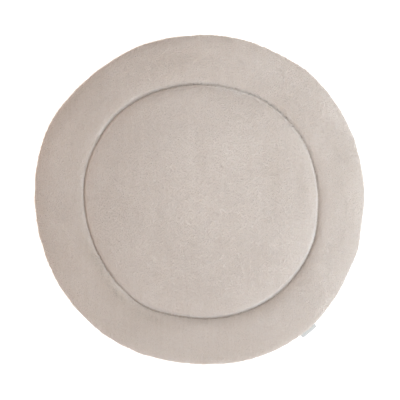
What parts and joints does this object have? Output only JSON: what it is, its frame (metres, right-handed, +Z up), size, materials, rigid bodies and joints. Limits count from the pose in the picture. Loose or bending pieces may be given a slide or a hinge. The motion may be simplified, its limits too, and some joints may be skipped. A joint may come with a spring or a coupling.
{
  "type": "round padded baby play mat",
  "caption": "Round padded plush mat, laid flat: a crowned centre inside a sewn ring channel, a filled border with a rounded rim, and a blank side label.",
  "frame": {"origin": "under the middle of the mat's box, on the surface that it lies on", "axes": "+Z up, out of the mat's top; +X to the right and +Y away from the viewer who reads the label at the lower right"},
  "size_m": [0.8948, 0.894, 0.035],
  "materials": {
    "plush_cloth": "short dense plush pile, soft sheen",
    "label_tape": "smooth woven tape, matt"
  },
  "bodies": {
    "root": {"padded_mat": "plush_cloth", "side_label": "label_tape"}
  },
  "joints": []
}
